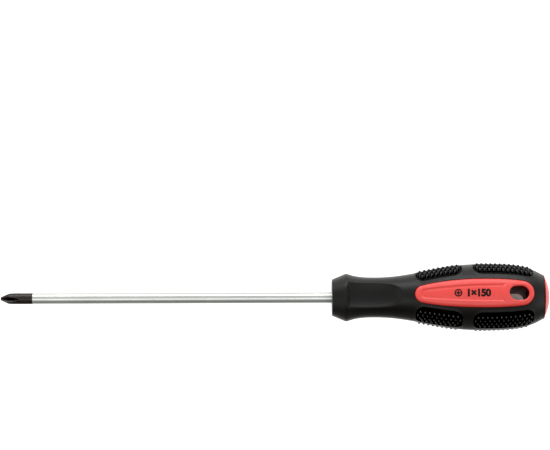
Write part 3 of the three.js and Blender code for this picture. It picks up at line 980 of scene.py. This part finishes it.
def makePad(end, column, stud):
    span, turn = pads["spans"][end], math.radians(pads["columns"][column])
    bm = padBlock(span, turn, 0, -pads["pocket"] + pads["pocketGap"], pads["base"])
    addStuds(bm, span, turn, stud)
    place = "{}_{}".format(end, column)
    made = meshFrom(bm, "pad_" + place)
    finishPiece(made, [studFloor, studBlack], ["stud_pad_" + place], sharp=50)


makeGrip()
print("grip done")
oneStud = makeStud()
for column in pads["columns"]:
    for end in pads["spans"]:
        makePad(end, column, oneStud)
bpy.data.meshes.remove(oneStud)
print("pads done")

# the moulding round the tang is the CAD solid as it stands
for thing in bpy.data.objects:
    if thing.type == "MESH" and thing.name.startswith("inner_core"):
        for slot in thing.material_slots:
            slot.material = coreNatural


studio = {
    "floorDrop": 17.0,
    "floorSize": 3000.0,
    "floorGlow": 1.0,
    "glowFade": (-26, -16),  # y, from the dark near side to the lit far side
    "shadePatchPlace": (noseX + holePlace, 3),  # painted shade: the glow is left off here, so the hang hole shows grey paper
    "shadePatchReach": (8, 7),
    "shadePatchFade": 2,
    "blackLevel": 0.008,
    "dome": (0.2, 0.9),  # strength on the near side, and from there to the back
    "target": (124.4, 0, 0),
    "elevation": 80.0,
    "axisDrop": 33.0,
    "distance": 1064.0,
    "roll": -0.2,
    "lens": 153.7,
}

# azimuth and elevation in degrees, distance, width and height in metres, power in watts;
# azimuth 0 is the camera's side and 90 the handle's end
lights = {
    "backSoftbox": (180, 30, 1.2, 1.6, 0.5, 13),
    "leftSoftbox": (-74, 15, 1.3, 1.2, 0.6, 3),
    "rightSoftbox": (74, 15, 1.3, 1.2, 0.6, 3),
    "topStrip": (0, 62, 1.3, 1.4, 0.5, 3),
}


def paperFloor():
    # matt studio paper that glows from the tool backwards; the camera sees it burnt out to white
    s = studio
    look = {"IOR": 1.4, "Emission Color": (1, 1, 1, 1)}
    material, tree, surface, place = newMaterial("studioPaperMatte", look)
    tintAndBump(tree, surface, place, ("8a8986", "908f8c"),
                tintSize=250, grainSize=2.0, grainDepth=0.01, gloss=(0.85, 0.95))
    axes = addNode(tree, "ShaderNodeSeparateXYZ", {}, {0: place})
    # a patch under the hang hole where the glow is left off: painted shade, so that only the paper's
    # lit grey shows there
    sides = []
    for axis, middle, reach in zip("XY", s["shadePatchPlace"], s["shadePatchReach"]):
        away = addNode(tree, "ShaderNodeMath", {"operation": "SUBTRACT", 1: middle * mm},
                       {0: axes.outputs[axis]})
        far = addNode(tree, "ShaderNodeMath", {"operation": "ABSOLUTE"}, {0: away.outputs[0]})
        ends = {"From Min": (reach - s["shadePatchFade"]) * mm, "From Max": reach * mm}
        sides.append(addNode(tree, "ShaderNodeMapRange", ends, {"Value": far.outputs[0]}))
    clear = addNode(tree, "ShaderNodeMath", {"operation": "MAXIMUM"},
                    {0: sides[0].outputs[0], 1: sides[1].outputs[0]})
    near, back = s["glowFade"]
    behind = addNode(tree, "ShaderNodeMapRange",
                     {"From Min": near * mm, "From Max": back * mm, "To Max": s["floorGlow"]},
                     {"Value": axes.outputs["Y"]})
    lit = addNode(tree, "ShaderNodeMath", {"operation": "MULTIPLY"},
                  {0: clear.outputs[0], 1: behind.outputs[0]})
    rays = addNode(tree, "ShaderNodeLightPath", {})
    glow = addNode(tree, "ShaderNodeMix", {"data_type": "FLOAT"},
                   {0: rays.outputs["Is Camera Ray"], 2: lit.outputs[0], 3: clear.outputs[0]})
    tree.links.new(glow.outputs[0], surface.inputs["Emission Strength"])
    # clear from below, so that the tool's underside can be looked at
    facing = addNode(tree, "ShaderNodeNewGeometry", {})
    nothing = addNode(tree, "ShaderNodeBsdfTransparent", {})
    oneWay = addNode(tree, "ShaderNodeMixShader", {},
                     {0: facing.outputs["Backfacing"], 1: surface.outputs[0], 2: nothing.outputs[0]})
    tree.links.new(oneWay.outputs[0], tree.nodes["Material Output"].inputs["Surface"])
    return material


def makeFloor():
    bm = bmesh.new()
    bmesh.ops.create_grid(bm, x_segments=1, y_segments=1, size=studio["floorSize"] / 2)
    bmesh.ops.translate(bm, verts=bm.verts[:], vec=(studio["target"][0], 0, -studio["floorDrop"]))
    thing = meshFrom(bm, "floor")
    thing.data.transform(Matrix.Scale(mm, 4))
    thing.data.materials.append(paperFloor())


def areaLight(name, azimuth, elevation, distance, width, height, power):
    az, el = math.radians(azimuth), math.radians(elevation)
    aim = Vector((studio["target"][0] * mm, 0, 0))
    away = Vector((math.sin(az) * math.cos(el), -math.cos(az) * math.cos(el), math.sin(el)))
    data = bpy.data.lights.new(name, "AREA")
    data.shape = "RECTANGLE"
    data.size, data.size_y = width, height
    data.energy = power
    light = bpy.data.objects.new(name, data)
    light.location = aim + away * distance
    light.rotation_euler = away.to_track_quat("Z", "Y").to_euler()
    bpy.context.scene.collection.objects.link(light)


def makeWorld():
    world = bpy.data.worlds.new("studio")
    world.use_nodes = True
    tree = world.node_tree
    tree.nodes.clear()
    # a white dome that grows dim towards the near side, and plain white where the camera sees it
    way = addNode(tree, "ShaderNodeTexCoord", {})
    axes = addNode(tree, "ShaderNodeSeparateXYZ", {}, {0: way.outputs["Generated"]})
    low, high = studio["dome"]
    dome = addNode(tree, "ShaderNodeMapRange",
                   {"From Min": -1.0, "From Max": -0.5, "To Min": low, "To Max": high},
                   {"Value": axes.outputs["Y"]})
    rays = addNode(tree, "ShaderNodeLightPath", {})
    pale = addNode(tree, "ShaderNodeBackground", {"Color": (1, 1, 1, 1), "Strength": 1.0})
    dim = addNode(tree, "ShaderNodeBackground", {"Color": (1, 1, 1, 1)}, {"Strength": dome.outputs[0]})
    mix = addNode(tree, "ShaderNodeMixShader", {},
                  {0: rays.outputs["Is Camera Ray"], 1: dim.outputs[0], 2: pale.outputs[0]})
    addNode(tree, "ShaderNodeOutputWorld", {}, {"Surface": mix.outputs[0]})
    bpy.context.scene.world = world


def makeCamera():
    s = studio
    tilt = math.radians(s["elevation"])
    up = Vector((0, math.sin(tilt), math.cos(tilt)))
    away = Vector((0, -math.cos(tilt), math.sin(tilt)))
    aim = (Vector(s["target"]) + up * s["axisDrop"]) * mm
    data = bpy.data.cameras.new("camera")
    data.sensor_width = 36
    data.lens = s["lens"]
    data.clip_start, data.clip_end = 0.05, 20
    camera = bpy.data.objects.new("camera", data)
    camera.location = aim + away * s["distance"] * mm
    turn = away.to_track_quat("Z", "Y").to_matrix() @ Matrix.Rotation(math.radians(s["roll"]), 3, "Z")
    camera.rotation_euler = turn.to_euler()
    bpy.context.scene.collection.objects.link(camera)
    bpy.context.scene.camera = camera


makeFloor()
for name, settings in lights.items():
    areaLight(name, *settings)
makeWorld()
makeCamera()
view = bpy.context.scene.view_settings
view.view_transform = "Standard"
view.use_curve_mapping = True
view.curve_mapping.black_level = (studio["blackLevel"],) * 3
view.curve_mapping.update()
print("studio ready")
